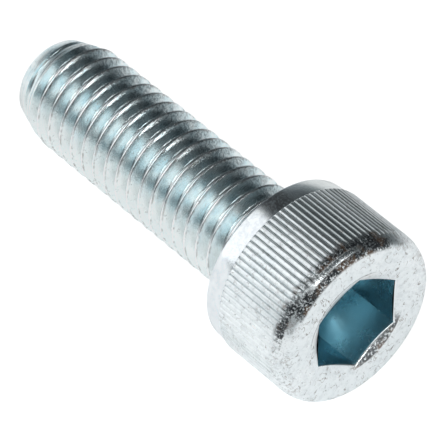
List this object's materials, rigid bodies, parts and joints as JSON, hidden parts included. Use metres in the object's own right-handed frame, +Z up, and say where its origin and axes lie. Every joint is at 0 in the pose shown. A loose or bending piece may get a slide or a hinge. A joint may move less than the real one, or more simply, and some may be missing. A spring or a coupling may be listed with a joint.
{
  "type": "hex socket cap screw",
  "caption": "Steel hex socket cap screw with a straight-knurled cylindrical head, a rounded head edge and a coarse right-hand thread up to the head, lying at rest on its head's rim and its tip.",
  "frame": {"origin": "on the surface the screw lies on, below the middle of its bounding box", "axes": "+Z up; the head is towards +X and the tip towards -X, with the screw's own axis in the XZ plane, about 6.6 degrees up from the tip to the head; Y is across the screw"},
  "size_m": [0.0408, 0.0162, 0.0168],
  "materials": {
    "screw_metal": "bright zinc plating with a faint blue tint, satin"
  },
  "bodies": {
    "root": {"cap_screw": "screw_metal"}
  },
  "joints": []
}
